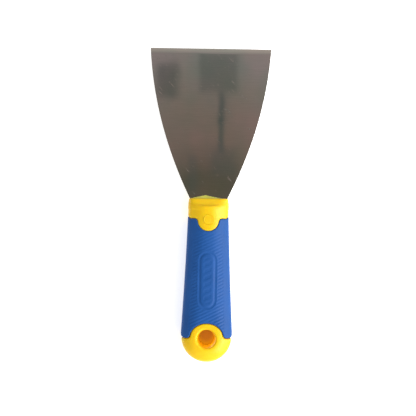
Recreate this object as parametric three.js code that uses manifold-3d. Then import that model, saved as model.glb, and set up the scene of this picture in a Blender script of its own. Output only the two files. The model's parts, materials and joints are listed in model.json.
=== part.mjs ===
// A 3-inch drywall taping knife lying flat on a table, in millimetres.
//
// +X is to the right, +Y runs from the butt of the handle to the working edge, +Z is up.
// While a piece is shaped, its y is the station, the distance from the butt end, and its z is the
// height above the middle plane of the blade. place() then moves it into the frame of the part,
// whose origin is the middle of the knife's footprint on the table.

import * as THREE from "three";
import { mergeVertices } from "three/addons/utils/BufferGeometryUtils.js";
import Module from "manifold-3d";

// Driving sizes.
const BLADE_WIDTH = 76.2; // 3 inches across the working edge
const BLADE_REACH = 94.6; // bare blade in front of the handle
const BLADE_THICKNESS = 0.6;
const HANDLE_LENGTH = 102.8;
const HANDLE_WIDTH = 33; // across the sleeve, beside the hang hole
const HANDLE_THICKNESS = 17.6;
const FIT = 0.2; // clearance between neighbouring pieces

const LENGTH = HANDLE_LENGTH + BLADE_REACH;
const TOP = HANDLE_THICKNESS / 2;
const OUTSIDE = HANDLE_WIDTH; // further out than any surface of the handle

// Outline and edge of the handle.
const FRONT_HALF_WIDTH = 12.65;
const SIDE_BOW = 0.2; // how far the long sides curve in at mid length
const LAND_INSET = 6.8; // from the outline to the flat land on either face
const FLANK_SLOPE = THREE.MathUtils.degToRad(30);
const LAND_ROUNDING = 4;
const SIDE_ROUNDING = 4.5;

// Grip sleeve.
const SLEEVE_WALL = 2;
const SLEEVE_PROUD = 0.7; // how far the sleeve stands out over the bare butt
const SLEEVE_FRONT = 90.3;
const SLEEVE_CORNER = 1.8;
const PANEL_STATION = 51.8;
const PANEL_LENGTH = 37.4;
const PANEL_WIDTH = 12.8;
const PANEL_GROOVE = 0.8;

// Round butt, whose middle lies one radius from its end, and the hang hole just behind the middle.
const BUTT_RADIUS = HANDLE_WIDTH / 2 - SLEEVE_PROUD;
const HOLE_STATION = BUTT_RADIUS - 0.9;
const HOLE_RADIUS = 5.2;
const HOLE_RIM = 0.9;
const SLEEVE_REAR = BUTT_RADIUS - 0.6;
const ARCH_HALF_WIDTH = 10.4; // the opening of the sleeve round the hole
const ARCH_HEIGHT = 8.85;

// Bolster: the bare front end of the core, with a round tab let into the sleeve on both faces.
const TAB_RADIUS = 6.6;
const TAB_FILLET = 1.2;
const LIP_LENGTH = 4; // the stepped-down mouth that holds the blade
const LIP_REAR_HEIGHT = 6.6; // half the thickness of the mouth at the step
const LIP_FRONT_HEIGHT = 4.8;
const LIP_CORNER = 1.4;
const FOOT_HALF_WIDTH = 11.4; // the thin arched foot lying on the blade
const FOOT_REACH = 2.2;
const FOOT_HEIGHT = 1.3;

// Blade and tang.
const BEVEL_LENGTH = 2;
const EDGE_THICKNESS = 0.24;
const NECK_HALF_WIDTH = 11.9; // where the blade enters the handle
const TANG_HALF_WIDTH = 8;
const TANG_NECK = 6; // length over which the neck narrows to the tang
const TANG_END = 52;
const TANG_CORNER = 3;

// Rivets through core and tang, and the roundels that close the front bore.
const FRONT_RIVET = 89.7;
const REAR_RIVET = 62;
const SHANK_RADIUS = 1.6;
const HEAD_RADIUS = 2.5;
const HEAD_THICKNESS = 1;
const ROUNDEL_RADIUS = 3.1;
const ROUNDEL_THICKNESS = 1.4;
const ROUNDEL_DOME = 0.35;
const FRONT_SEAT = TOP - ROUNDEL_THICKNESS - FIT - HEAD_THICKNESS; // height the heads sit at
const REAR_SEAT = TOP - SLEEVE_WALL - FIT - HEAD_THICKNESS;

// Facets of the curved stretches.
const CURVE_STEPS = 10;
const EDGE_STEPS = 4;
const ROUND_STEPS = 36;
const WELD = 1e-4;

const wasm = await Module();
wasm.setup();

// A closed geometry as a solid that can be joined and cut.
function solidFrom(geometry) {
  const bare = geometry.index ? geometry.toNonIndexed() : geometry.clone();
  bare.deleteAttribute("normal");
  bare.deleteAttribute("uv");
  const welded = mergeVertices(bare, WELD);
  const corners = welded.index.array;
  const faces = [];
  for (let i = 0; i < corners.length; i += 3) {
    const [a, b, c] = corners.slice(i, i + 3);
    if (a !== b && b !== c && c !== a) faces.push(a, b, c);
  }
  const vertProperties = welded.attributes.position.array;
  const triVerts = new Uint32Array(faces);
  return new wasm.Manifold(new wasm.Mesh({ numProp: 3, vertProperties, triVerts }));
}

// A solid as a geometry with flat-shaded faces.
function geometryFrom(solid) {
  const { vertProperties, triVerts } = solid.getMesh();
  const indexed = new THREE.BufferGeometry();
  indexed.setAttribute("position", new THREE.BufferAttribute(vertProperties, 3));
  indexed.setIndex(new THREE.BufferAttribute(triVerts, 1));
  const geometry = indexed.toNonIndexed();
  geometry.computeVertexNormals();
  return geometry;
}

// Everything over or under a plan shape, between two heights.
function planPrism(shape, bottom, top) {
  const geometry = new THREE.ExtrudeGeometry(shape, {
    depth: top - bottom,
    bevelEnabled: false,
    curveSegments: CURVE_STEPS,
  });
  geometry.translate(0, 0, bottom);
  return solidFrom(geometry);
}

// Everything beside a shape drawn in the side view, whose x is the station and whose y the height.
function sidePrism(shape) {
  const geometry = new THREE.ExtrudeGeometry(shape, {
    depth: 2 * BLADE_WIDTH,
    bevelEnabled: false,
    curveSegments: CURVE_STEPS,
  });
  geometry.translate(0, 0, -BLADE_WIDTH);
  geometry.rotateX(Math.PI / 2);
  geometry.rotateZ(Math.PI / 2);
  return solidFrom(geometry);
}

// A solid of revolution standing upright at a station; the profile runs from its foot to its top.
function turned(profile, station) {
  const geometry = new THREE.LatheGeometry(profile, ROUND_STEPS);
  geometry.rotateX(Math.PI / 2);
  geometry.translate(0, station, 0);
  return solidFrom(geometry);
}

function cylinder(radius, bottom, top, station) {
  const corners = [
    [0, bottom],
    [radius, bottom],
    [radius, top],
    [0, top],
  ];
  return turned(corners.map(([r, z]) => new THREE.Vector2(r, z)), station);
}

// The same solid on the other face of the knife.
function otherFace(solid) {
  return solid.mirror([0, 0, 1]);
}

// Seen from above, the handle pulled in all round by an inset.
function handleOutline(inset) {
  const front = FRONT_HALF_WIDTH - inset;
  const rear = HANDLE_WIDTH / 2 - inset;
  const waist = (front + rear) / 2 - 2 * SIDE_BOW;
  const middle = (HANDLE_LENGTH + BUTT_RADIUS) / 2;
  const outline = new THREE.Path();
  outline.moveTo(-front, HANDLE_LENGTH);
  outline.quadraticCurveTo(-waist, middle, -rear, BUTT_RADIUS);
  outline.absarc(0, BUTT_RADIUS, rear, Math.PI, 2 * Math.PI, false);
  outline.quadraticCurveTo(waist, middle, front, HANDLE_LENGTH);
  return outline.getPoints(CURVE_STEPS);
}

// The long edge of the handle in section, from underside to top, as inset and height.
// A depth above zero gives the surface that lies this far under the handle's skin.
function edgeProfile(depth) {
  const land = LAND_INSET + depth * Math.tan(FLANK_SLOPE / 2);
  const face = TOP - depth;
  const steep = (Math.PI / 2 - FLANK_SLOPE) / 2;
  const shoulder = TOP - LAND_INSET * Math.tan(FLANK_SLOPE) - depth * Math.tan(steep);
  const landCut = (LAND_ROUNDING - depth) * Math.tan(FLANK_SLOPE / 2);
  const sideCut = (SIDE_ROUNDING - depth) * Math.tan(steep);
  const slide = { x: Math.cos(FLANK_SLOPE), z: Math.sin(FLANK_SLOPE) };
  const upper = new THREE.Path();
  upper.moveTo(depth, shoulder - sideCut);
  upper.quadraticCurveTo(
    depth, shoulder,
    depth + sideCut * slide.x, shoulder + sideCut * slide.z,
  );
  upper.lineTo(land - landCut * slide.x, face - landCut * slide.z);
  upper.quadraticCurveTo(land, face, land + landCut, face);
  const half = upper.getPoints(EDGE_STEPS);
  const underside = half.map(({ x, y }) => new THREE.Vector2(x, -y)).reverse();
  return [...underside, ...half];
}

// The whole handle as one block, its skin taken off to a depth.
function handleBody(depth) {
  const rings = edgeProfile(depth).map(({ x: inset, y: height }) =>
    handleOutline(inset).map(({ x, y }) => new THREE.Vector3(x, y, height)),
  );
  const count = rings[0].length;
  const points = rings.flat();
  const faces = [];
  for (let level = 0; level < rings.length - 1; level++) {
    for (let i = 0; i < count; i++) {
      const a = level * count + i;
      const b = level * count + ((i + 1) % count);
      faces.push(a, b, b + count, a, b + count, a + count);
    }
  }
  const lastRing = (rings.length - 1) * count;
  const cap = THREE.ShapeUtils.triangulateShape(rings[0], []);
  for (const [a, b, c] of cap) {
    faces.push(c, b, a);
    faces.push(lastRing + a, lastRing + b, lastRing + c);
  }
  const geometry = new THREE.BufferGeometry().setFromPoints(points);
  geometry.setIndex(faces);
  return solidFrom(geometry);
}

// The area of the bolster seen from above, its border moved off the sleeve by a clearance.
function bolsterArea(clearance) {
  const tab = TAB_RADIUS - clearance;
  const fillet = TAB_FILLET + clearance;
  const border = SLEEVE_FRONT + clearance;
  const centre = border - fillet;
  const area = new THREE.Shape();
  area.moveTo(-OUTSIDE, LENGTH);
  area.lineTo(-OUTSIDE, border);
  area.lineTo(-tab - fillet, border);
  area.absarc(-tab - fillet, centre, fillet, Math.PI / 2, 0, true);
  area.absarc(0, centre, tab, Math.PI, 2 * Math.PI, false);
  area.absarc(tab + fillet, centre, fillet, Math.PI, Math.PI / 2, true);
  area.lineTo(OUTSIDE, border);
  area.lineTo(OUTSIDE, LENGTH);
  return area;
}

// The area of the bare butt, with the arch round the hang hole.
function buttArea(clearance) {
  const border = SLEEVE_REAR - clearance;
  const halfWidth = ARCH_HALF_WIDTH - clearance;
  const area = new THREE.Shape();
  area.moveTo(-OUTSIDE, -OUTSIDE);
  area.lineTo(OUTSIDE, -OUTSIDE);
  area.lineTo(OUTSIDE, border);
  area.lineTo(halfWidth, border);
  area.absellipse(0, BUTT_RADIUS, halfWidth, ARCH_HEIGHT - clearance, 0, Math.PI, false);
  area.lineTo(-halfWidth, border);
  area.lineTo(-OUTSIDE, border);
  return area;
}

// The blade and its tang from above, grown by a margin.
function bladeOutline(margin) {
  const edge = BLADE_WIDTH / 2 + margin;
  const neck = NECK_HALF_WIDTH + margin;
  const tang = TANG_HALF_WIDTH + margin;
  const end = TANG_END - margin;
  const flareX = 0.93 * edge;
  const flareStation = HANDLE_LENGTH + BLADE_REACH / 2;
  const neckEnd = HANDLE_LENGTH - TANG_NECK;
  const corner = TANG_CORNER + margin;
  const outline = new THREE.Shape();
  outline.moveTo(edge, LENGTH);
  outline.lineTo(-edge, LENGTH);
  outline.quadraticCurveTo(-flareX, flareStation, -neck, HANDLE_LENGTH);
  outline.quadraticCurveTo(-tang, HANDLE_LENGTH - TANG_NECK / 2, -tang, neckEnd);
  outline.lineTo(-tang, end + corner);
  outline.absarc(corner - tang, end + corner, corner, Math.PI, 1.5 * Math.PI, false);
  outline.absarc(tang - corner, end + corner, corner, 1.5 * Math.PI, 2 * Math.PI, false);
  outline.lineTo(tang, neckEnd);
  outline.quadraticCurveTo(tang, HANDLE_LENGTH - TANG_NECK / 2, neck, HANDLE_LENGTH);
  outline.quadraticCurveTo(flareX, flareStation, edge, LENGTH);
  return outline;
}

// The blade in the side view: one even sheet, ground down over the last stretch to the edge.
function bladeSide() {
  const half = BLADE_THICKNESS / 2;
  const edge = EDGE_THICKNESS / 2;
  const side = new THREE.Shape();
  side.moveTo(0, -half);
  side.lineTo(LENGTH - BEVEL_LENGTH, -half);
  side.lineTo(LENGTH, -edge);
  side.lineTo(LENGTH, edge);
  side.lineTo(LENGTH - BEVEL_LENGTH, half);
  side.lineTo(0, half);
  return side;
}

function bladeSolid() {
  const sheet = planPrism(bladeOutline(0), -BLADE_THICKNESS, BLADE_THICKNESS);
  return [FRONT_RIVET, REAR_RIVET].reduce(
    (blade, station) => blade.subtract(cylinder(SHANK_RADIUS + FIT, -TOP, TOP, station)),
    sheet.intersect(sidePrism(bladeSide())),
  );
}

// The mouth in the side view, lower at its front than at the step behind it.
function lipSide() {
  const step = HANDLE_LENGTH - LIP_LENGTH;
  const side = new THREE.Shape();
  side.moveTo(step - LIP_LENGTH, -LIP_REAR_HEIGHT);
  side.lineTo(step, -LIP_REAR_HEIGHT);
  side.lineTo(HANDLE_LENGTH - LIP_CORNER, -LIP_FRONT_HEIGHT);
  side.lineTo(HANDLE_LENGTH, LIP_CORNER - LIP_FRONT_HEIGHT);
  side.lineTo(HANDLE_LENGTH, LIP_FRONT_HEIGHT - LIP_CORNER);
  side.lineTo(HANDLE_LENGTH - LIP_CORNER, LIP_FRONT_HEIGHT);
  side.lineTo(step, LIP_REAR_HEIGHT);
  side.lineTo(step - LIP_LENGTH, LIP_REAR_HEIGHT);
  return side;
}

// The arched foot of the mouth, seen from above.
function footArea() {
  const foot = new THREE.Shape();
  foot.moveTo(-FOOT_HALF_WIDTH, HANDLE_LENGTH - LIP_LENGTH);
  foot.lineTo(FOOT_HALF_WIDTH, HANDLE_LENGTH - LIP_LENGTH);
  foot.lineTo(FOOT_HALF_WIDTH, HANDLE_LENGTH);
  foot.quadraticCurveTo(0, HANDLE_LENGTH + 2 * FOOT_REACH, -FOOT_HALF_WIDTH, HANDLE_LENGTH);
  return foot;
}

function bolsterSolid() {
  const area = planPrism(bolsterArea(FIT), -TOP, TOP);
  const step = new THREE.Shape();
  step.moveTo(0, -OUTSIDE);
  step.lineTo(HANDLE_LENGTH - LIP_LENGTH, -OUTSIDE);
  step.lineTo(HANDLE_LENGTH - LIP_LENGTH, OUTSIDE);
  step.lineTo(0, OUTSIDE);
  const skin = handleBody(0);
  const shoulder = skin.intersect(area).intersect(sidePrism(step));
  const lip = skin.intersect(sidePrism(lipSide()));
  return shoulder.add(lip).add(planPrism(footArea(), -FOOT_HEIGHT, FOOT_HEIGHT));
}

// The hang hole with rounded rims, as the body to take out.
function hangHole() {
  const face = TOP - SLEEVE_PROUD;
  const wide = HOLE_RADIUS + HOLE_RIM;
  const profile = new THREE.Path();
  profile.moveTo(0, -TOP);
  profile.lineTo(wide, -TOP);
  profile.absarc(wide, HOLE_RIM - face, HOLE_RIM, 1.5 * Math.PI, Math.PI, true);
  profile.absarc(wide, face - HOLE_RIM, HOLE_RIM, Math.PI, Math.PI / 2, true);
  profile.lineTo(wide, TOP);
  profile.lineTo(0, TOP);
  return turned(profile.getPoints(EDGE_STEPS), HOLE_STATION);
}

// Room for a rivet: its shank all the way, and its heads outwards from the height they sit at.
function rivetRoom(seat, station) {
  const head = cylinder(HEAD_RADIUS + FIT, seat, TOP, station);
  return cylinder(SHANK_RADIUS + FIT, -TOP, TOP, station).add(head).add(otherFace(head));
}

function coreSolid() {
  const butt = handleBody(SLEEVE_PROUD).intersect(planPrism(buttArea(FIT), -TOP, TOP));
  const stem = handleBody(SLEEVE_WALL + FIT);
  const slot = planPrism(bladeOutline(FIT), -BLADE_THICKNESS / 2 - FIT, BLADE_THICKNESS / 2 + FIT);
  const roundelSeat = TOP - ROUNDEL_THICKNESS - FIT;
  const roundelRoom = cylinder(ROUNDEL_RADIUS + FIT, roundelSeat, OUTSIDE, FRONT_RIVET);
  const rooms = [
    slot,
    hangHole(),
    roundelRoom,
    otherFace(roundelRoom),
    rivetRoom(FRONT_SEAT - FIT, FRONT_RIVET),
    rivetRoom(REAR_SEAT - FIT, REAR_RIVET),
  ];
  const stemEnd = new THREE.Shape();
  stemEnd.moveTo(BUTT_RADIUS, -OUTSIDE);
  stemEnd.lineTo(HANDLE_LENGTH - LIP_LENGTH, -OUTSIDE);
  stemEnd.lineTo(HANDLE_LENGTH - LIP_LENGTH, OUTSIDE);
  stemEnd.lineTo(BUTT_RADIUS, OUTSIDE);
  const whole = butt.add(stem.intersect(sidePrism(stemEnd))).add(bolsterSolid());
  return rooms.reduce((core, room) => core.subtract(room), whole);
}

// An oblong with round ends, centred on the panel of the sleeve.
function oblong(length, width) {
  const radius = width / 2;
  const reach = length / 2 - radius;
  const shape = new THREE.Shape();
  shape.absarc(0, PANEL_STATION + reach, radius, 0, Math.PI, false);
  shape.absarc(0, PANEL_STATION - reach, radius, Math.PI, 2 * Math.PI, false);
  return shape;
}

// The sunk line that frames the panel.
function panelGroove() {
  const frame = oblong(PANEL_LENGTH, PANEL_WIDTH);
  frame.holes.push(oblong(PANEL_LENGTH - 2 * PANEL_GROOVE, PANEL_WIDTH - 2 * PANEL_GROOVE));
  return planPrism(frame, TOP - PANEL_GROOVE / 2, OUTSIDE);
}

// The area the sleeve may fill, rounded at its two rear corners.
function sleeveArea() {
  const side = HANDLE_WIDTH / 2;
  const cornerX = side - SLEEVE_CORNER;
  const cornerStation = SLEEVE_REAR + SLEEVE_CORNER;
  const area = new THREE.Shape();
  area.moveTo(side, HANDLE_LENGTH);
  area.lineTo(-side, HANDLE_LENGTH);
  area.absarc(-cornerX, cornerStation, SLEEVE_CORNER, Math.PI, 1.5 * Math.PI, false);
  area.absarc(cornerX, cornerStation, SLEEVE_CORNER, 1.5 * Math.PI, 2 * Math.PI, false);
  return area;
}

function sleeveSolid() {
  const groove = panelGroove();
  return handleBody(0)
    .intersect(planPrism(sleeveArea(), -OUTSIDE, OUTSIDE))
    .subtract(handleBody(SLEEVE_WALL))
    .subtract(planPrism(bolsterArea(0), -OUTSIDE, OUTSIDE))
    .subtract(planPrism(buttArea(0), -OUTSIDE, OUTSIDE))
    .subtract(groove)
    .subtract(otherFace(groove));
}

// A rivet whose two heads sit at the same height above and below the tang.
function rivetSolid(seat, station) {
  const head = cylinder(HEAD_RADIUS, seat, seat + HEAD_THICKNESS, station);
  return cylinder(SHANK_RADIUS, -seat, seat, station).add(head).add(otherFace(head));
}

// The round yellow button that closes the front bore, slightly domed.
function roundelSolid() {
  const bottom = TOP - ROUNDEL_THICKNESS;
  const rim = TOP - ROUNDEL_DOME;
  const profile = new THREE.Path();
  profile.moveTo(0, bottom);
  profile.lineTo(ROUNDEL_RADIUS, bottom);
  profile.lineTo(ROUNDEL_RADIUS, rim);
  profile.quadraticCurveTo(ROUNDEL_RADIUS / 2, TOP, 0, TOP);
  return turned(profile.getPoints(EDGE_STEPS), FRONT_RIVET);
}

function steel() {
  return new THREE.MeshStandardMaterial({ color: 0x8d8a83, roughness: 0.3, metalness: 1 });
}

function yellowPlastic() {
  return new THREE.MeshStandardMaterial({ color: 0xfdd525, roughness: 0.35, metalness: 0 });
}

function blueRubber() {
  return new THREE.MeshStandardMaterial({ color: 0x2b5cb0, roughness: 0.75, metalness: 0 });
}

// A finished piece, named and moved into the frame of the part.
function place(name, solid, material) {
  const geometry = geometryFrom(solid);
  geometry.translate(0, -LENGTH / 2, TOP);
  const mesh = new THREE.Mesh(geometry, material);
  mesh.name = name;
  return mesh;
}

function tapingKnife() {
  const knife = new THREE.Group();
  knife.name = "drywall_taping_knife";
  const roundel = roundelSolid();
  knife.add(
    place("blade", bladeSolid(), steel()),
    place("handle_core", coreSolid(), yellowPlastic()),
    place("grip_sleeve", sleeveSolid(), blueRubber()),
    place("front_tang_rivet", rivetSolid(FRONT_SEAT, FRONT_RIVET), steel()),
    place("rear_tang_rivet", rivetSolid(REAR_SEAT, REAR_RIVET), steel()),
    place("top_roundel", roundel, yellowPlastic()),
    place("underside_roundel", otherFace(roundel), yellowPlastic()),
  );
  return knife;
}

export default tapingKnife();
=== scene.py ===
"""The visual model of a drywall taping knife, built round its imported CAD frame.

The moulded pieces are described as fields: a function of x, station and height that is negative
inside the piece, close to the distance from its surface near it, and sampled on a grid. The
station is the distance from the butt end along +Y, and the height is measured from the middle
plane of the blade. These lengths are millimetres; the finished meshes are in metres.
"""

import json
import math

import bmesh
import bpy
import numpy as np
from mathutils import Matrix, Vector


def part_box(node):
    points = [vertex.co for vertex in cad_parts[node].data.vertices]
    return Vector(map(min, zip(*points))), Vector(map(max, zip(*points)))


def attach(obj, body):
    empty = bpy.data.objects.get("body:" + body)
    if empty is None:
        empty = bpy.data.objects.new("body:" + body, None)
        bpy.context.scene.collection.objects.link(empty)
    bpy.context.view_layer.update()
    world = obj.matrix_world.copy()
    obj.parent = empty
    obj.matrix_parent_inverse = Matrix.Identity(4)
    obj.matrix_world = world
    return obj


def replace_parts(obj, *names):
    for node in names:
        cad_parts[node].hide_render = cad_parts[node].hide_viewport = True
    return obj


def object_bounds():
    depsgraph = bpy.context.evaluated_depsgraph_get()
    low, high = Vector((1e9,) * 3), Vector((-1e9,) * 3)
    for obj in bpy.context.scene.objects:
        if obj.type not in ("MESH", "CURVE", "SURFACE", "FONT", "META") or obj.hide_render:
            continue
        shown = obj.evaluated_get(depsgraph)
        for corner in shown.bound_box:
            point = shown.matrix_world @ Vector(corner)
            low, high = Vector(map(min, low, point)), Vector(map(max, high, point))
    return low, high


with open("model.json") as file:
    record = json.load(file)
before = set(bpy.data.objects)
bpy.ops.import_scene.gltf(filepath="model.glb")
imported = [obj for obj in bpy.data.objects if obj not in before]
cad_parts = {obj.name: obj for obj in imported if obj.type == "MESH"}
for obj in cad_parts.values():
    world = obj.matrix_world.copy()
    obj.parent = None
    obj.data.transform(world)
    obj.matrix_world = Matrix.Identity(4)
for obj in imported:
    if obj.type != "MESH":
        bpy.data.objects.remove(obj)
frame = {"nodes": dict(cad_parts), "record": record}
cad_low, cad_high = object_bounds()

MM = 0.001
TO_FRAME = Vector((0, cad_low.y, (cad_low.z + cad_high.z) / 2))  # where station 0, height 0 lies


def station(y):
    """The distance of a frame position from the butt end."""
    return (y - cad_low.y) / MM


sleeve_low, sleeve_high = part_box("grip_sleeve")
core_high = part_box("handle_core")[1]
blade_low, blade_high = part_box("blade")
roundel_low, roundel_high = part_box("top_roundel")
rivet_low, rivet_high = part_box("rear_tang_rivet")
hole_low, hole_high = frame["record"]["physics"]["openings"][0]["box_m"]

# Sizes read from the frame, as stations, radii, half widths and heights.
LENGTH = station(cad_high.y)
TOP = (sleeve_high.z - sleeve_low.z) / 2 / MM
SLEEVE_REAR = station(sleeve_low.y)
SLEEVE_FRONT = station(sleeve_high.y)
HOLE_STATION = station((hole_low[1] + hole_high[1]) / 2)
BLADE_HALF_WIDTH = (blade_high.x - blade_low.x) / 2 / MM
BLADE_HALF_THICKNESS = (blade_high.z - blade_low.z) / 2 / MM
TANG_END = station(blade_low.y)
ROUNDEL_RADIUS = (roundel_high.x - roundel_low.x) / 2 / MM
ROUNDEL_FLOOR = (roundel_low.z - TO_FRAME.z) / MM
FRONT_RIVET = station((roundel_low.y + roundel_high.y) / 2)
REAR_RIVET = station((rivet_low.y + rivet_high.y) / 2)

# Outline and section of the handle. A land is the nearly flat middle of its upper or lower face,
# and a flank slopes from the land to the side.
SLEEVE_PROUD = 0.7  # how far the sleeve stands out from the bare butt
REAR_HALF_WIDTH = (sleeve_high.x - sleeve_low.x) / 2 / MM
ROUND_STATION = REAR_HALF_WIDTH - SLEEVE_PROUD  # the middle of the round butt
FRONT_HALF_WIDTH = 12.65
FOOT_REACH = 2.2
HANDLE_LENGTH = station(core_high.y) - FOOT_REACH
SIDE_BOW = 0.35  # how far the long sides curve in at mid length
LAND_INSET = 7.8  # from the outline to the border of the land
LAND_CROWN = 0.6  # how much a land drops from its middle to its border
REAR_LAND_INSET = 6.8  # the same inset on the butt, where the lands are flat
LAND_RUN = 15.0  # length over which the lands change from the butt's to the handle's
FLANK_SLOPE = math.radians(33)
LAND_BLEND = 1.7  # rounding between land and flank
SIDE_BLEND = 2.3  # rounding between flank and side

# Grip sleeve.
SLEEVE_WALL = 2.0
SEAM = 0.05  # half of the fine gap where pieces meet
REAR_SEAM = 0.14  # the same at the rear end of the sleeve, where a groove shows
SLEEVE_EDGE = 0.6  # rounding where the sleeve ends, and of the core beside it
SLEEVE_CORNER = 3.6
ARCH_FILLET = 2.2
SIDE_REACH = 1.3  # how much further forward the sleeve's front border runs at the sides
SIDE_RUN = 1.3  # width over which it does so
ARCH_HALF_WIDTH = 10.4
ARCH_HEIGHT = 8.85
RIB_PITCH = 1.93
RIB_ANGLE = math.radians(26)
RIB_DEPTH = 0.25
RIB_SPAN = 0.7  # share of the width that the ribs cover
RIB_MARGIN = 0.7  # plain border in front of the arch, and width over which the ribs fade out
RIB_FRONT_MARGIN = 0.8  # plain border behind the tab
RIB_START = 0.5  # share of their depth that the ribs have at the tab
RIB_FADE = 25.0  # length behind the tab over which they grow to their full depth
PANEL_STATION = 51.6
PANEL_HALF_LENGTH = 17.2
PANEL_HALF_WIDTH = 4.9
PANEL_GROOVE = 1.3  # half width of the sunk line round the panel
PANEL_GROOVE_DEPTH = 0.35
BAR_PITCH = 4.2
BAR_HALF_WIDTH = 0.8
BAR_HALF_LENGTH = 2.4
BAR_SLANT = 0.35
BAR_DEPTH = 0.15
BAR_EDGE = 0.3  # width of the slope beside a bar

# Core. Its front is the bolster: a shoulder with a tab, then the lower mouth, then a thin foot.
BOLSTER_SUNK = 0.2  # how far the bolster lies below the sleeve
TAB_RADIUS = 6.6
TAB_INSIDE = 1.2  # how far behind the sleeve's front the middle of the tab lies
TAB_END = SLEEVE_FRONT - TAB_INSIDE - TAB_RADIUS
TAB_FILLET = 2.4
MOUTH_LENGTH = 4.2
MOUTH_REAR_HEIGHT = 6.6
MOUTH_FRONT_HEIGHT = 4.8
MOUTH_SIDE_BLEND = 1.4
MOUTH_FRONT_BLEND = 0.8
STEP_LENGTH = 0.6  # of the steep slope from mouth to shoulder
STEP_BLEND = 0.9
FOOT_HALF_WIDTH = 11.6
FOOT_PEAK = -2.0  # where across the blade the foot reaches furthest
FOOT_BENDS = (0.9, 1.4)  # how its front runs to the peak from left and right; 1 is straight
FOOT_HEIGHT = 0.9  # at its front rim
FOOT_RIM = 0.8  # width over which it drops behind the rim
FOOT_DROP = 0.25
FOOT_EDGE = 0.5
FOOT_FILLET = 0.4
HOLE_RADIUS = 5.2  # at half height
HOLE_TAPER = 0.75  # what the radius gains at the top face and loses at the bottom one
HOLE_RIM = 1.5  # rounding of its two rims
RIVET_BORE_RADIUS = 1.8
HEAD_ROOM_RADIUS = 2.7
HEAD_ROOM_DEPTH = 1.4
RECESS_EDGE = 0.2  # rounding of the recess for a roundel's button

# Roundel buttons.
BUTTON_SUNK = 0.02  # how far a button lies below the bolster round it
BUTTON_RIM = 0.2  # width of the rounded rim
BUTTON_RIM_DROP = 0.06
BUTTON_RING = 0.68 * ROUNDEL_RADIUS  # radius of the ring groove
BUTTON_RING_HALF_WIDTH = 0.5
BUTTON_RING_DEPTH = 0.1

# Blade.
TANG_HALF_WIDTH = 8.0
TANG_NECK = 6.0  # length over which the tang widens to the neck
NECK_HALF_WIDTH = 11.9  # where the blade leaves the handle
BEVEL_LENGTH = 2.0  # of the ground band along the working edge
EDGE_HALF_THICKNESS = 0.12
EDGE_SLOPE = 0.0578  # how the half width starts to shrink, per millimetre from the edge
BLADE_SOFTENING = 0.06  # rounding of the blade's edges
BLADE_SHARP_ANGLE = math.radians(20)  # above which an edge is shaded as sharp
SCUFF_ANGLE = math.radians(-45)

# Sampling.
FINE = 0.3  # spacing of the core's grid where it has detail
COARSE = 1.5  # and along its plain stem
SLEEVE_SPACING = (0.4, 0.32, 0.42)  # of the sleeve's grid: across, along and up
MARGIN = 1.0  # how far a grid reaches past its piece
TANG_ROWS = 3
NECK_ROWS = 8
BLADE_ROWS = 72
BORE_SIDES = 48
BUTTON_SIDES = 64
BUTTON_RINGS = 40

# Camera, in metres and radians.
VIEW_WIDTH = 0.2624
VIEW_CENTRE = (-0.0003, -0.0018)
CAMERA_HEIGHT = 0.85
CAMERA_TURN = math.radians(0.95)

# Floor, in metres. The hang hole's patch of painted orange light, and the painted shade of the dim
# spot in it, each fade between two distances from their middles.
FLOOR_HALF_WIDTH = 4
FLOOR_GLOW = 0.6
PATCH_FADE = (7 * MM, 9 * MM)
PATCH_DIM_FADE = (3 * MM, 6 * MM)
# painted light: under the hang hole the paper is coloured orange and glows orange, less in a
# painted dim spot
PATCH_PAINTED_ORANGE = (0.5, 0.25, 0.03, 1)
PATCH_DIM_GLOW = (0.22, 0.09, 0.01)
PATCH_BRIGHT_GLOW = (0.6, 0.25, 0)

# Light: angles in degrees, lengths in millimetres, and energy in watts. Places in the sky are
# sines of the angle from the zenith.
KEY_AZIMUTH = -22
KEY_ELEVATION = 36.5
HOLE_LAMP_OFFSET = 1.6  # to the right of the hang hole's middle, and toward the butt end
HOLE_LAMP_RADIUS = 1.5
HOLE_LAMP_ENERGY = 0.0004
LOPSIDED = 0.68  # how much brighter the room is on the key light's side, and dimmer opposite
SKY = (
    # place, colour
    (0, (0.19, 0.145, 0.1)),
    (0.025, (0.14, 0.13, 0.095)),
    (0.05, (0.26, 0.205, 0.17)),
    (0.075, (0.3, 0.24, 0.205)),
    (0.11, (0.33, 0.31, 0.29)),
    (0.3, (0.61, 0.57, 0.51)),
    (0.5, (0.74, 0.73, 0.71)),
    (0.87, (0.84, 0.84, 0.84)),
    (1, (0.68, 0.68, 0.68)),
)
OVERHEAD_TONE = (0.115, 0.135, 0.125, 1)
OVERHEAD_SHAPES = (
    # middle, half size, soft border, strength
    ((-0.0315, 0.094), (0.0085, 0.0125), 0.004, 0.7),
    ((0.006, 0.1), (0.0145, 0.0145), 0.0025, 0.5),
    ((0.0086, 0.063), (0.002, 0.022), 0.0012, 0.9),
    ((0.0105, 0.034), (0.009, 0.01), 0.005, 0.5),
    ((-0.012, 0.025), (0.003, 0.014), 0.002, 0.4),
)


# ---------------------------------------------------------------------------------------------
# Fields


def smooth_max(a, b, blend):
    """The common part of two fields, with their meeting edge rounded over a width."""
    near = np.maximum(blend - np.abs(a - b), 0) / blend
    return np.maximum(a, b) + near**2 * blend / 4


def smooth_min(a, b, blend):
    """Two fields joined, with a fillet where they meet."""
    return -smooth_max(-a, -b, blend)


def cut(field, tool, blend):
    """A field with a tool taken out, its edge rounded."""
    return smooth_max(field, -tool, blend)


def smooth_step(x):
    """A rise from 0 to 1 as x goes from 0 to 1, level at both ends."""
    x = np.clip(x, 0, 1)
    return x * x * (3 - 2 * x)


def bell(x, width):
    """1 at x = 0, falling smoothly to 0 at a width on either side."""
    return np.maximum(1 - (x / width) ** 2, 0) ** 2


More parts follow.
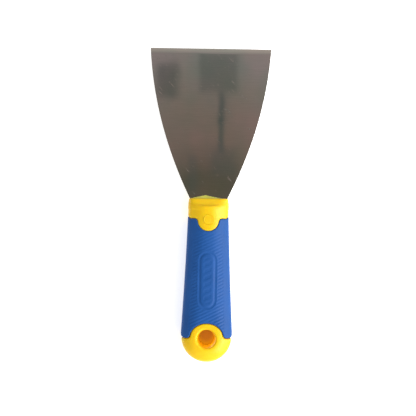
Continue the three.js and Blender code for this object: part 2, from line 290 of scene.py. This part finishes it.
def handle_half_width(s):
    """Half the width in front of the butt: it narrows evenly, and bows in a little on the way."""
    share = (s - ROUND_STATION) / (HANDLE_LENGTH - ROUND_STATION)
    straight = REAR_HALF_WIDTH + (FRONT_HALF_WIDTH - REAR_HALF_WIDTH) * share
    return straight - 4 * SIDE_BOW * share * (1 - share)


def handle_skin(x, s, z):
    """The whole handle: nearly straight sides, round butt, crowned lands and sloping flanks."""
    ahead = s > ROUND_STATION
    half_width = np.where(ahead, handle_half_width(s), REAR_HALF_WIDTH)
    off_middle = np.where(ahead, np.abs(x), np.hypot(x, s - ROUND_STATION))
    inset = half_width - off_middle
    forward = smooth_step((s - ROUND_STATION) / LAND_RUN)
    land_inset = REAR_LAND_INSET + (LAND_INSET - REAR_LAND_INSET) * forward
    height = np.abs(z) - TOP
    flank = height * math.cos(FLANK_SLOPE) + (land_inset - inset) * math.sin(FLANK_SLOPE)
    land = height + LAND_CROWN * forward * (off_middle / (half_width - land_inset)) ** 2
    return smooth_max(smooth_max(flank, land, LAND_BLEND), -inset, SIDE_BLEND)


def bolster_area(x, s):
    """Seen from above, the bare front of the core with its round tab."""
    beside = smooth_step((np.abs(x) - FRONT_HALF_WIDTH) / SIDE_RUN + 1)
    tab = np.hypot(x, s - SLEEVE_FRONT + TAB_INSIDE) - TAB_RADIUS
    return smooth_min(SLEEVE_FRONT + SIDE_REACH * beside - s, tab, TAB_FILLET)


def butt_area(x, s):
    """Seen from above, the bare butt with the arch round the hang hole."""
    arch = np.hypot(x / ARCH_HALF_WIDTH, (s - ROUND_STATION) / ARCH_HEIGHT) - 1
    return smooth_min(s - SLEEVE_REAR, arch * ARCH_HEIGHT, ARCH_FILLET)


def panel_distance(x, s):
    """Distance outside the border of the oblong panel, negative within it."""
    reach = PANEL_HALF_LENGTH - PANEL_HALF_WIDTH
    beyond = np.maximum(np.abs(s - PANEL_STATION) - reach, 0)
    return np.hypot(x, beyond) - PANEL_HALF_WIDTH


def rib_depth(x, s):
    """Depth of the fine diagonal grooves: round crests with a sharp valley between them.

    The grooves fade out where the room to the nearest border of their area runs short.
    """
    across = s * math.cos(RIB_ANGLE) - x * math.sin(RIB_ANGLE)
    groove = 1 - np.abs(np.sin(math.pi * across / RIB_PITCH))
    beside = RIB_SPAN * handle_half_width(s) - np.abs(x)
    room = np.minimum(beside, panel_distance(x, s) - PANEL_GROOVE)
    room = np.minimum(room, butt_area(x, s) - RIB_MARGIN)
    behind_tab = TAB_END - RIB_FRONT_MARGIN - s
    room = np.minimum(room, behind_tab)
    fade = RIB_START + (1 - RIB_START) * smooth_step(behind_tab / RIB_FADE)
    return RIB_DEPTH * fade * groove * smooth_step(room / RIB_MARGIN)


def panel_depth(x, s):
    """Depth of the panel: a sunk line, and within it plain slanting bars divided by hollows."""
    border = panel_distance(x, s)
    line = PANEL_GROOVE_DEPTH * bell(border, PANEL_GROOVE)
    along = s - PANEL_STATION - BAR_SLANT * x
    from_bar = np.abs((along + BAR_PITCH / 2) % BAR_PITCH - BAR_PITCH / 2)
    hollow = smooth_step((from_bar - BAR_HALF_WIDTH) / BAR_EDGE)
    hollow = hollow * smooth_step((BAR_HALF_LENGTH - np.abs(x)) / BAR_EDGE)
    hollow = hollow * smooth_step((-2 * PANEL_GROOVE - border) / BAR_EDGE)
    return line + BAR_DEPTH * hollow


def sleeve_field(x, s, z):
    """A shell under the handle's skin, with ribs and panel, that ends at the bolster and butt."""
    skin = handle_skin(x, s, z)
    outer = skin + rib_depth(x, s) + panel_depth(x, s)
    rear_corner = smooth_max(np.abs(x) - handle_half_width(s), SLEEVE_REAR - s, SLEEVE_CORNER)
    shell = cut(outer, skin + SLEEVE_WALL, SLEEVE_EDGE)
    shell = smooth_max(shell, rear_corner, SLEEVE_EDGE)
    shell = cut(shell, bolster_area(x, s) - SEAM, SLEEVE_EDGE)
    return cut(shell, butt_area(x, s) - REAR_SEAM, SLEEVE_EDGE)


def blade_half_width(s):
    """Half the width of blade and tang: a parabola outside the handle, a short neck inside."""
    from_edge = LENGTH - s
    reach = LENGTH - HANDLE_LENGTH
    bow = (BLADE_HALF_WIDTH - NECK_HALF_WIDTH - EDGE_SLOPE * reach) / reach**2
    bare = BLADE_HALF_WIDTH - EDGE_SLOPE * from_edge - bow * from_edge**2
    into_neck = np.clip((s - HANDLE_LENGTH) / TANG_NECK + 1, 0, 1)
    tang = TANG_HALF_WIDTH + (NECK_HALF_WIDTH - TANG_HALF_WIDTH) * into_neck**2
    return np.where(s > HANDLE_LENGTH, bare, tang)


def foot_field(x, s, z):
    """The thin foot on the blade, whose raised front rim runs out to a low peak."""
    right = x > FOOT_PEAK
    run = np.where(right, FOOT_HALF_WIDTH - FOOT_PEAK, FOOT_HALF_WIDTH + FOOT_PEAK)
    share = np.clip(1 - np.abs(x - FOOT_PEAK) / run, 0, 1)
    left_bend, right_bend = FOOT_BENDS
    front = s - HANDLE_LENGTH - FOOT_REACH * share ** np.where(right, right_bend, left_bend)
    area = np.maximum(front, HANDLE_LENGTH - MOUTH_LENGTH - s)
    crest = FOOT_HEIGHT - FOOT_DROP * smooth_step(-front / FOOT_RIM)
    roof = np.maximum(np.abs(z) - crest, np.abs(x) - FOOT_HALF_WIDTH)
    return smooth_max(area, roof, FOOT_EDGE)


def bolster_field(x, s, z):
    """Shoulder, stepped-down mouth and foot. The mouth reaches some way back into the shoulder."""
    skin = handle_skin(x, s, z) + BOLSTER_SUNK
    past_step = s - HANDLE_LENGTH + MOUTH_LENGTH
    lean = math.atan(STEP_LENGTH / (TOP - MOUTH_REAR_HEIGHT))
    step = past_step * math.cos(lean) + (np.abs(z) - MOUTH_REAR_HEIGHT) * math.sin(lean)
    shoulder = smooth_max(skin, bolster_area(x, s) + SEAM, SLEEVE_EDGE)
    shoulder = smooth_max(shoulder, step, STEP_BLEND)
    slope = (MOUTH_REAR_HEIGHT - MOUTH_FRONT_HEIGHT) / MOUTH_LENGTH
    roof = np.abs(z) - MOUTH_REAR_HEIGHT + slope * past_step
    mouth = smooth_max(skin, roof, MOUTH_SIDE_BLEND)
    mouth = smooth_max(mouth, s - HANDLE_LENGTH, MOUTH_FRONT_BLEND)
    mouth = np.maximum(mouth, -past_step - MOUTH_LENGTH / 2)
    bolster = smooth_min(shoulder, mouth, STEP_BLEND)
    return smooth_min(bolster, foot_field(x, s, z), FOOT_FILLET)


def rivet_room(x, s, z, rivet, seat):
    """The bore for a rivet at a station, with room for its heads beyond a height."""
    radius = np.hypot(x, s - rivet)
    head = np.maximum(radius - HEAD_ROOM_RADIUS, seat - np.abs(z))
    return np.minimum(radius - RIVET_BORE_RADIUS, head)


def core_field(x, s, z):
    """Butt, stem and bolster, less the hang hole, blade slot, rivet bores and button recesses."""
    skin = handle_skin(x, s, z)
    butt = smooth_max(skin + SLEEVE_PROUD, butt_area(x, s) + REAR_SEAM, SLEEVE_EDGE)
    stem = np.maximum(skin + SLEEVE_WALL + SEAM, ROUND_STATION - s)
    stem = np.maximum(stem, s - HANDLE_LENGTH + MOUTH_LENGTH)
    core = np.minimum(np.minimum(butt, stem), bolster_field(x, s, z))

    hang_hole = np.hypot(x, s - HOLE_STATION) - (HOLE_RADIUS + HOLE_TAPER * z / TOP)
    core = cut(core, hang_hole, HOLE_RIM)
    slot = np.maximum(np.abs(x) - blade_half_width(s), np.abs(z) - BLADE_HALF_THICKNESS)
    slot = np.maximum(slot, TANG_END - s) - SEAM
    core = np.maximum(core, -slot)
    for rivet, roof in ((FRONT_RIVET, ROUNDEL_FLOOR), (REAR_RIVET, TOP - SLEEVE_WALL)):
        core = np.maximum(core, -rivet_room(x, s, z, rivet, roof - HEAD_ROOM_DEPTH))
    recess = np.hypot(x, s - FRONT_RIVET) - ROUNDEL_RADIUS - SEAM / 2
    recess = np.maximum(recess, ROUNDEL_FLOOR - SEAM - np.abs(z))
    return cut(core, recess, RECESS_EDGE)


# ---------------------------------------------------------------------------------------------
# Meshes


def grid_axis(*stretches):
    """Sample positions over stretches that follow each other, each (start, stop, spacing)."""
    parts = []
    for start, stop, spacing in stretches:
        count = max(1, round((stop - start) / spacing))
        parts.append(np.linspace(start, stop, count, endpoint=False))
    parts.append([stretches[-1][1]])
    return np.concatenate(parts)


def both_sides(half, spacing):
    """Sample positions on both sides of 0, to a margin beyond half a size."""
    return grid_axis((-half - MARGIN, half + MARGIN, spacing))


def level_surface(values, axes):
    """The closed surface of quads where sampled values pass through zero (surface nets).

    Each grid edge whose ends differ in sign gives one quad, which joins the four cells round that
    edge. A cell's vertex is the mean of the zero crossings on its edges.
    """
    cells = np.array(values.shape) - 1
    total = np.zeros((3, cells.prod()))
    hits = np.zeros(cells.prod())
    quads = []
    for along in range(3):
        low = np.take(values, range(cells[along]), axis=along)
        high = np.take(values, range(1, cells[along] + 1), axis=along)
        edges = np.argwhere((low < 0) != (high < 0))
        start = low[tuple(edges.T)]
        end = high[tuple(edges.T)]
        points = np.stack([axes[i][edges[:, i]] for i in range(3)])
        span = axes[along][edges[:, along] + 1] - points[along]
        points[along] += span * start / (start - end)
        ring = []
        for back in ((0, 0), (1, 0), (1, 1), (0, 1)):
            cell = edges.copy()
            cell[:, (along + 1) % 3] -= back[0]
            cell[:, (along + 2) % 3] -= back[1]
            number = np.ravel_multi_index(cell.T, cells)
            hits += np.bincount(number, minlength=len(hits))
            for i in range(3):
                total[i] += np.bincount(number, points[i], minlength=len(hits))
            ring.append(number)
        ring = np.stack(ring, axis=1)
        leaving = (start < 0)[:, None]  # edges that run out of the piece
        quads.append(np.where(leaving, ring, ring[:, ::-1]))
    used = hits > 0
    renumber = np.cumsum(used) - 1
    points = (total[:, used] / hits[used]).T
    return points, renumber[np.concatenate(quads)]


def finished_mesh(name, shape):
    """A mesh from a bmesh, with its faces turned outward."""
    bmesh.ops.recalc_face_normals(shape, faces=shape.faces)
    mesh = bpy.data.meshes.new(name)
    shape.to_mesh(mesh)
    shape.free()
    return mesh


def new_object(name, mesh, material):
    """A smooth-shaded piece that rides on the knife's only body."""
    mesh.shade_smooth()
    mesh.materials.append(material)
    piece = bpy.data.objects.new(name, mesh)
    bpy.context.scene.collection.objects.link(piece)
    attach(piece, "root")
    return piece


def moulded(name, field, axes, material):
    """A piece whose surface lies where its field is zero."""
    x, s, z = np.meshgrid(*axes, indexing="ij", sparse=True)
    points, quads = level_surface(field(x, s, z), axes)
    points = points * MM + np.array(TO_FRAME)
    mesh = bpy.data.meshes.new(name)
    mesh.from_pydata(points.tolist(), [], quads.tolist())
    return new_object(name, mesh, material)


def blade_rows():
    """Stations of the blade's cross rows, with one at the back of the ground edge."""
    neck_start = HANDLE_LENGTH - TANG_NECK
    tang = np.linspace(TANG_END, neck_start, TANG_ROWS, endpoint=False)
    neck = np.linspace(neck_start, HANDLE_LENGTH, NECK_ROWS, endpoint=False)
    bare = np.linspace(HANDLE_LENGTH, LENGTH - BEVEL_LENGTH, BLADE_ROWS)
    return np.concatenate([tang, neck, bare, [LENGTH]])


def blade_sheet():
    """The blade and its tang as a thin sheet, ground down to the working edge on both faces."""
    shape = bmesh.new()
    rings = []
    for s in blade_rows():
        half = float(blade_half_width(s))
        thick = EDGE_HALF_THICKNESS if s == LENGTH else BLADE_HALF_THICKNESS
        corners = ((-half, -thick), (half, -thick), (half, thick), (-half, thick))
        places = [Vector((x, s, z)) * MM + TO_FRAME for x, z in corners]
        rings.append([shape.verts.new(place) for place in places])
    for rear, front in zip(rings, rings[1:]):
        for i in range(4):
            shape.faces.new((rear[i], rear[i - 1], front[i - 1], front[i]))
    shape.faces.new(rings[0])
    shape.faces.new(reversed(rings[-1]))
    return finished_mesh("blade", shape)


def blade(material):
    """The sheet with its rivet holes and softened edges."""
    piece = new_object("taping_blade", blade_sheet(), material)
    for rivet in (FRONT_RIVET, REAR_RIVET):
        punch_hole(piece, rivet)
    soften = piece.modifiers.new("soft_edges", "BEVEL")
    soften.width = BLADE_SOFTENING * MM
    soften.segments = 2
    soften.limit_method = "ANGLE"
    apply_modifiers(piece)
    piece.data.set_sharp_from_angle(angle=BLADE_SHARP_ANGLE)
    return piece


def punch_hole(piece, rivet):
    """A round hole through the tang."""
    bpy.ops.mesh.primitive_cylinder_add(
        vertices=BORE_SIDES,
        radius=RIVET_BORE_RADIUS * MM,
        depth=TOP * MM,
        location=Vector((0, rivet, 0)) * MM + TO_FRAME,
    )
    punch = bpy.context.object
    hole = piece.modifiers.new("hole", "BOOLEAN")
    hole.operation = "DIFFERENCE"
    hole.object = punch
    apply_modifiers(piece)
    bpy.data.objects.remove(punch)


def apply_modifiers(piece):
    """The piece's mesh replaced by what its modifiers make of it."""
    graph = bpy.context.evaluated_depsgraph_get()
    done = bpy.data.meshes.new_from_object(piece.evaluated_get(graph))
    piece.modifiers.clear()
    piece.data = done


def turned(name, profile, side, material):
    """A body of revolution over the front rivet, on the top face (side 1) or the other (-1)."""
    shape = bmesh.new()
    rings = []
    for radius, height in profile:
        sides = BUTTON_SIDES if radius else 1
        ring = []
        for i in range(sides):
            angle = 2 * math.pi * i / sides
            x = radius * math.cos(angle)
            s = FRONT_RIVET + radius * math.sin(angle)
            ring.append(shape.verts.new(Vector((x, s, side * height)) * MM + TO_FRAME))
        rings.append(ring)
    for lower, upper in zip(rings, rings[1:]):
        for i in range(BUTTON_SIDES):
            corners = [lower[i % len(lower)], lower[(i + 1) % len(lower)]]
            corners += [upper[(i + 1) % len(upper)], upper[i % len(upper)]]
            shape.faces.new(dict.fromkeys(corners))  # three corners where a ring is one point
    return new_object(name, finished_mesh(name, shape), material)


def roundel_profile():
    """Radius and height along the outline of the flat button, with its ring groove near the rim."""
    face = TOP - BOLSTER_SUNK - BUTTON_SUNK
    outline = [(0, ROUNDEL_FLOOR), (ROUNDEL_RADIUS, ROUNDEL_FLOOR)]
    for share in np.linspace(1, 0, BUTTON_RINGS):
        radius = ROUNDEL_RADIUS * share
        rim = BUTTON_RIM_DROP * (1 - smooth_step((ROUNDEL_RADIUS - radius) / BUTTON_RIM))
        ring = BUTTON_RING_DEPTH * bell(radius - BUTTON_RING, BUTTON_RING_HALF_WIDTH)
        outline.append((radius, float(face - rim - ring)))
    return outline


# ---------------------------------------------------------------------------------------------
# Materials


def node(tree, kind, inputs=None, **settings):
    """A shader node; an input is a value, or the output socket that feeds it."""
    made = tree.nodes.new(kind)
    for name, value in settings.items():
        setattr(made, name, value)
    for name, value in (inputs or {}).items():
        if isinstance(value, bpy.types.NodeSocket):
            tree.links.new(value, made.inputs[name])
        else:
            made.inputs[name].default_value = value
    return made


def grey(level):
    return (level, level, level)


def new_material(name):
    """A material, its node tree, its main shader and the object coordinates."""
    material = bpy.data.materials.new(name)
    material.use_nodes = True
    tree = material.node_tree
    place = node(tree, "ShaderNodeTexCoord").outputs["Object"]
    return material, tree, tree.nodes["Principled BSDF"], place


def stretched(tree, place, scale, turn=0.0):
    """Coordinates for streaky textures, turned in the plane of the blade.

    The scale says how many times longer the features are along each turned axis.
    """
    inputs = {"Vector": place, "Rotation": (0, 0, turn), "Scale": scale}
    return node(tree, "ShaderNodeMapping", inputs, vector_type="TEXTURE").outputs["Vector"]


def noise(tree, place, size, detail=2.0, roughness=0.5):
    """Soft noise with features of about a size in millimetres, from 0 to 1."""
    inputs = {"Vector": place, "Scale": 1 / (size * MM), "Detail": detail, "Roughness": roughness}
    return node(tree, "ShaderNodeTexNoise", inputs).outputs["Fac"]


def ramp(tree, value, *stops):
    """A value turned into a colour; each stop is (position, colour)."""
    made = node(tree, "ShaderNodeValToRGB", {"Fac": value})
    elements = made.color_ramp.elements
    while len(elements) < len(stops):
        elements.new(1)
    for element, (position, colour) in zip(elements, stops):
        element.position = position
        element.color = (*colour, 1)
    return made.outputs["Color"]


def spread(tree, value, low, high, start=0.3, stop=0.7):
    """A value between start and stop mapped to the range from low to high.

    Noise keeps mostly between 0.3 and 0.7, so those are where it starts and stops.
    """
    inputs = {"Value": value, "From Min": start, "From Max": stop, "To Min": low, "To Max": high}
    return node(tree, "ShaderNodeMapRange", inputs).outputs["Result"]


def mixed(tree, factor, first, second, blend="MIX"):
    """Two colours mixed; a Mix node's colour inputs are numbers 6 and 7, its colour output 2."""
    inputs = {0: factor, 6: first, 7: second}
    made = node(tree, "ShaderNodeMix", inputs, data_type="RGBA", blend_type=blend)
    return made.outputs[2]


def combined(tree, operation, first, second):
    """Two values combined by a math operation."""
    return node(tree, "ShaderNodeMath", {0: first, 1: second}, operation=operation).outputs[0]


def bump(tree, height, distance, normal=None):
    """A bump whose height is given from 0 to 1 and whose full height is a distance in mm."""
    inputs = {"Height": height, "Distance": distance * MM, "Strength": 1}
    if normal:
        inputs["Normal"] = normal
    return node(tree, "ShaderNodeBump", inputs).outputs["Normal"]


def link(tree, output, shader, name):
    tree.links.new(output, shader.inputs[name])


def blade_steel():
    """Polished spring steel: faint clouds and smears, with fine grinding lines across it."""
    material, tree, shader, place = new_material("blade_steel")
    shader.inputs["Metallic"].default_value = 1
    shader.inputs["Anisotropic"].default_value = 0.5
    along = node(tree, "ShaderNodeTangent", direction_type="RADIAL", axis="X")
    link(tree, along.outputs["Tangent"], shader, "Tangent")
    cloud = noise(tree, stretched(tree, place, (1, 1.4, 1)), size=22)
    tone = ramp(tree, cloud, (0.3, (0.53, 0.56, 0.54)), (0.7, (0.63, 0.58, 0.56)))
    lines = noise(tree, stretched(tree, place, (33, 1, 1)), size=0.3, detail=3)
    shade = ramp(tree, lines, (0.3, grey(0.94)), (0.7, grey(1)))
    link(tree, mixed(tree, 1, tone, shade, "MULTIPLY"), shader, "Base Color")
    smear = spread(tree, noise(tree, place, size=8, detail=5, roughness=0.6), 0.02, 0.04)
    slanting = stretched(tree, place, (4, 1, 1), turn=SCUFF_ANGLE)
    scuff = noise(tree, slanting, size=1.6, detail=4, roughness=0.6)
    scuff = spread(tree, scuff, 0, 0.15, start=0.62, stop=0.75)
    link(tree, combined(tree, "ADD", smear, scuff), shader, "Roughness")
    waves = noise(tree, place, size=16, detail=1)
    grinding = bump(tree, lines, distance=0.0001)
    link(tree, bump(tree, waves, distance=0.008, normal=grinding), shader, "Normal")
    return material


def rivet_steel():
    """Dull plain steel, a little rough all over."""
    material, tree, shader, place = new_material("rivet_steel")
    shader.inputs["Metallic"].default_value = 1
    grain = noise(tree, place, size=0.4, detail=4)
    tone = ramp(tree, grain, (0.3, (0.4, 0.39, 0.37)), (0.7, (0.56, 0.55, 0.52)))
    link(tree, tone, shader, "Base Color")
    link(tree, spread(tree, grain, 0.3, 0.45), shader, "Roughness")
    link(tree, bump(tree, grain, distance=0.02), shader, "Normal")
    return material


def yellow_plastic():
    """Half-gloss translucent polypropylene; on the foot the colour turns a paler, greener olive, a
    painted sheen and painted reflection of the steel.
    """
    material, tree, shader, place = new_material("yellow_plastic")
    shader.inputs["Specular IOR Level"].default_value = 0.35
    shader.inputs["Subsurface Weight"].default_value = 0.35
    shader.inputs["Subsurface Radius"].default_value = (1, 0.6, 0.1)
    shader.inputs["Subsurface Scale"].default_value = 2.5 * MM
    cloud = noise(tree, place, size=14, detail=3)
    tone = ramp(tree, cloud, (0.3, (0.84, 0.53, 0.001)), (0.7, (0.88, 0.57, 0.002)))
    # Painted light: in front of the mouth the yellow turns a paler, greener olive, a painted sheen
    # and painted reflection of the steel on the foot.
    y = node(tree, "ShaderNodeSeparateXYZ", {"Vector": place}).outputs["Y"]
    mouth = TO_FRAME.y + HANDLE_LENGTH * MM
    thin = spread(tree, y, 0, 0.8, start=mouth, stop=mouth + 0.4 * MM)
    painted_foot_sheen = (0.8, 0.86, 0.22, 1)
    link(tree, mixed(tree, thin, tone, painted_foot_sheen), shader, "Base Color")
    handling = noise(tree, place, size=4, detail=5, roughness=0.6)
    link(tree, spread(tree, handling, 0.32, 0.44), shader, "Roughness")
    grain = bump(tree, noise(tree, place, size=0.35, detail=3), distance=0.01)
    waves = noise(tree, place, size=6, detail=1)
    link(tree, bump(tree, waves, distance=0.04, normal=grain), shader, "Normal")
    return material


def blue_rubber():
    """Soft matt rubber with a little dust and a fine stippled skin."""
    material, tree, shader, place = new_material("blue_rubber")
    shader.inputs["Specular IOR Level"].default_value = 0.3
    cloud = noise(tree, place, size=11, detail=4)
    tone = ramp(tree, cloud, (0.3, (0.004, 0.072, 0.282)), (0.7, (0.007, 0.083, 0.318)))
    speck = noise(tree, place, size=0.6, detail=5, roughness=0.7)
    dust = spread(tree, speck, 0, 0.05, start=0.55, stop=0.8)
    pale_dust = (0.16, 0.2, 0.3, 1)
    link(tree, mixed(tree, dust, tone, pale_dust), shader, "Base Color")
    link(tree, spread(tree, cloud, 0.5, 0.62), shader, "Roughness")
    link(tree, bump(tree, noise(tree, place, size=0.22), distance=0.02), shader, "Normal")
    return material


def from_station(tree, place, s):
    """Distance on the floor from the middle of the knife at a station."""
    inputs = {0: place, 1: (0, TO_FRAME.y + s * MM, cad_low.z)}
    return node(tree, "ShaderNodeVectorMath", inputs, operation="DISTANCE").outputs["Value"]


def pale_floor():
    """White paper that glows a little, like a light table.

    In the hang hole the paper is painted orange and given an orange glow: a painted pool of the
    light that comes through the plastic, with painted shade in a dim spot toward the blade, so that
    it is brightest toward the butt end, where the least plastic is in the way.
    """
    material, tree, shader, place = new_material("pale_floor")
    tone = ramp(tree, noise(tree, place, size=60), (0, grey(0.93)), (1, grey(0.95)))
    # Painted light: under the hang hole, an orange colour and an orange glow, dimmed in a painted
    # shade spot.
    outside = spread(tree, from_station(tree, place, HOLE_STATION), 0, 1, *PATCH_FADE)
    from_dimmest = from_station(tree, place, HOLE_STATION + HOLE_RADIUS / 3)
    bright = spread(tree, from_dimmest, 0, 1, *PATCH_DIM_FADE)
    glow = ramp(tree, bright, (0, PATCH_DIM_GLOW), (1, PATCH_BRIGHT_GLOW))
    link(tree, mixed(tree, outside, PATCH_PAINTED_ORANGE, tone), shader, "Base Color")
    link(tree, mixed(tree, outside, glow, tone), shader, "Emission Color")
    shader.inputs["Emission Strength"].default_value = FLOOR_GLOW
    shader.inputs["Roughness"].default_value = 0.9
    shader.inputs["Specular IOR Level"].default_value = 0.1
    return material


# ---------------------------------------------------------------------------------------------
# Stage


def camera_above():
    """Straight above the knife, which leans a little clockwise in the picture."""
    data = bpy.data.cameras.new("camera")
    data.lens = data.sensor_width * CAMERA_HEIGHT / VIEW_WIDTH
    camera = bpy.data.objects.new("camera", data)
    bpy.context.scene.collection.objects.link(camera)
    camera.location = (*VIEW_CENTRE, TO_FRAME.z + CAMERA_HEIGHT)
    camera.rotation_euler = (0, 0, CAMERA_TURN)
    bpy.context.scene.camera = camera


def horizontal(azimuth):
    """A level direction, from its azimuth in degrees."""
    angle = math.radians(azimuth)
    return Vector((math.cos(angle), math.sin(angle), 0))


def soft_box(name, azimuth, elevation, distance, width, height, radiance):
    """A rectangular lamp that faces the knife."""
    data = bpy.data.lights.new(name, "AREA")
    data.shape = "RECTANGLE"
    data.size = width
    data.size_y = height
    data.energy = radiance * math.pi * width * height
    lamp = bpy.data.objects.new(name, data)
    bpy.context.scene.collection.objects.link(lamp)
    up = math.radians(elevation)
    away = horizontal(azimuth) * math.cos(up) + Vector((0, 0, math.sin(up)))
    lamp.location = away * distance
    lamp.rotation_euler = away.to_track_quat("Z", "Y").to_euler()
    lamp.visible_camera = False


def hole_glow():
    """A small warm lamp in the hang hole, for the light that comes through the plastic."""
    data = bpy.data.lights.new("hole_glow", "POINT")
    data.color = (1, 0.64, 0.3)
    data.energy = HOLE_LAMP_ENERGY
    data.shadow_soft_size = HOLE_LAMP_RADIUS * MM
    lamp = bpy.data.objects.new("hole_glow", data)
    bpy.context.scene.collection.objects.link(lamp)
    offset = Vector((HOLE_LAMP_OFFSET, HOLE_STATION - HOLE_LAMP_OFFSET, 0)) * MM
    lamp.location = TO_FRAME + offset
    lamp.visible_camera = False


def band(tree, value, middle, half, soft):
    """1 where a value lies within half of the middle, fading to 0 over a soft border."""
    off = combined(tree, "SUBTRACT", value, middle)
    off = node(tree, "ShaderNodeMath", {0: off}, operation="ABSOLUTE").outputs[0]
    inputs = {"Value": off, "From Min": half - soft, "From Max": half + soft}
    inputs |= {"To Min": 1, "To Max": 0}
    made = node(tree, "ShaderNodeMapRange", inputs, interpolation_type="SMOOTHSTEP")
    return made.outputs["Result"]


def studio_dome():
    """A room brighter toward the key light and dim overhead, with dark shapes round the zenith.

    The polished blade mirrors these shapes. A mottle, which it also mirrors, fills the dim part.
    """
    world = bpy.data.worlds.new("studio")
    bpy.context.scene.world = world
    world.use_nodes = True
    tree = world.node_tree
    direction = node(tree, "ShaderNodeTexCoord").outputs["Generated"]
    parts = node(tree, "ShaderNodeSeparateXYZ", {"Vector": direction})
    x = parts.outputs["X"]
    y = parts.outputs["Y"]
    flat = node(tree, "ShaderNodeCombineXYZ", {"X": x, "Y": y}).outputs["Vector"]
    outward = node(tree, "ShaderNodeVectorMath", {0: flat}, operation="LENGTH").outputs["Value"]
    sky = ramp(tree, outward, *SKY)
    for middle, half, soft, strength in OVERHEAD_SHAPES:
        across = band(tree, x, middle[0], half[0], soft)
        along = band(tree, y, middle[1], half[1], soft)
        shape = combined(tree, "MULTIPLY", across, along)
        amount = combined(tree, "MULTIPLY", shape, strength)
        sky = mixed(tree, amount, sky, OVERHEAD_TONE)
    patches = noise(tree, direction, size=25, detail=3)
    mottle = ramp(tree, patches, (0.35, (0.91, 0.98, 0.94)), (0.65, (1.09, 1.01, 1.06)))
    overhead = spread(tree, outward, 1, 0, start=0.15, stop=0.3)
    sky = mixed(tree, overhead, sky, mottle, "MULTIPLY")
    inputs = {0: direction, 1: tuple(horizontal(KEY_AZIMUTH))}
    side = node(tree, "ShaderNodeVectorMath", inputs, operation="DOT_PRODUCT").outputs["Value"]
    lopsided = spread(tree, outward, LOPSIDED, 0, start=0.9, stop=1)  # fades at the horizon
    strength = combined(tree, "ADD", combined(tree, "MULTIPLY", side, lopsided), 1)
    background = tree.nodes["Background"]
    link(tree, sky, background, "Color")
    link(tree, strength, background, "Strength")


def floor():
    """A wide square of paper for the knife to lie on."""
    mesh = bpy.data.meshes.new("floor")
    half = FLOOR_HALF_WIDTH
    corners = [(-half, -half), (half, -half), (half, half), (-half, half)]
    mesh.from_pydata([(x, y, cad_low.z) for x, y in corners], [], [(0, 1, 2, 3)])
    mesh.materials.append(pale_floor())
    made = bpy.data.objects.new("floor", mesh)
    bpy.context.scene.collection.objects.link(made)


# ---------------------------------------------------------------------------------------------
# The knife


def handle_core(material):
    """The core, sampled coarsely along its plain stem, which the sleeve hides."""
    stem_start = ROUND_STATION + ARCH_HEIGHT + MARGIN
    stem_end = TAB_END - MARGIN
    along = grid_axis(
        (-MARGIN, stem_start, FINE),
        (stem_start, stem_end, COARSE),
        (stem_end, HANDLE_LENGTH + FOOT_REACH + MARGIN, FINE),
    )
    axes = (both_sides(REAR_HALF_WIDTH, FINE), along, both_sides(TOP, FINE))
    return moulded("yellow_core", core_field, axes, material)


def grip_sleeve(material):
    """The sleeve, on a grid coarse enough to keep it within 200,000 triangles."""
    across_spacing, along_spacing, up_spacing = SLEEVE_SPACING
    end = SLEEVE_FRONT + SIDE_REACH + MARGIN
    along = grid_axis((SLEEVE_REAR - MARGIN, end, along_spacing))
    axes = (both_sides(REAR_HALF_WIDTH, across_spacing), along, both_sides(TOP, up_spacing))
    return moulded("blue_sleeve", sleeve_field, axes, material)


def build_knife():
    steel = blade_steel()
    plastic = yellow_plastic()
    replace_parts(handle_core(plastic), "handle_core")
    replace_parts(grip_sleeve(blue_rubber()), "grip_sleeve")
    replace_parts(blade(steel), "blade")
    for name, side in (("top_roundel", 1), ("underside_roundel", -1)):
        button = turned(name + "_button", roundel_profile(), side, plastic)
        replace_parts(button, name)
    dull = rivet_steel()
    for name in ("front_tang_rivet", "rear_tang_rivet"):
        rivet = frame["nodes"][name].data
        rivet.materials.clear()
        rivet.materials.append(dull)


build_knife()
floor()
studio_dome()
soft_box("key", KEY_AZIMUTH, KEY_ELEVATION, distance=1.4, width=1.5, height=0.75, radiance=6.1)
hole_glow()
camera_above()
bpy.context.scene.view_settings.view_transform = "Standard"
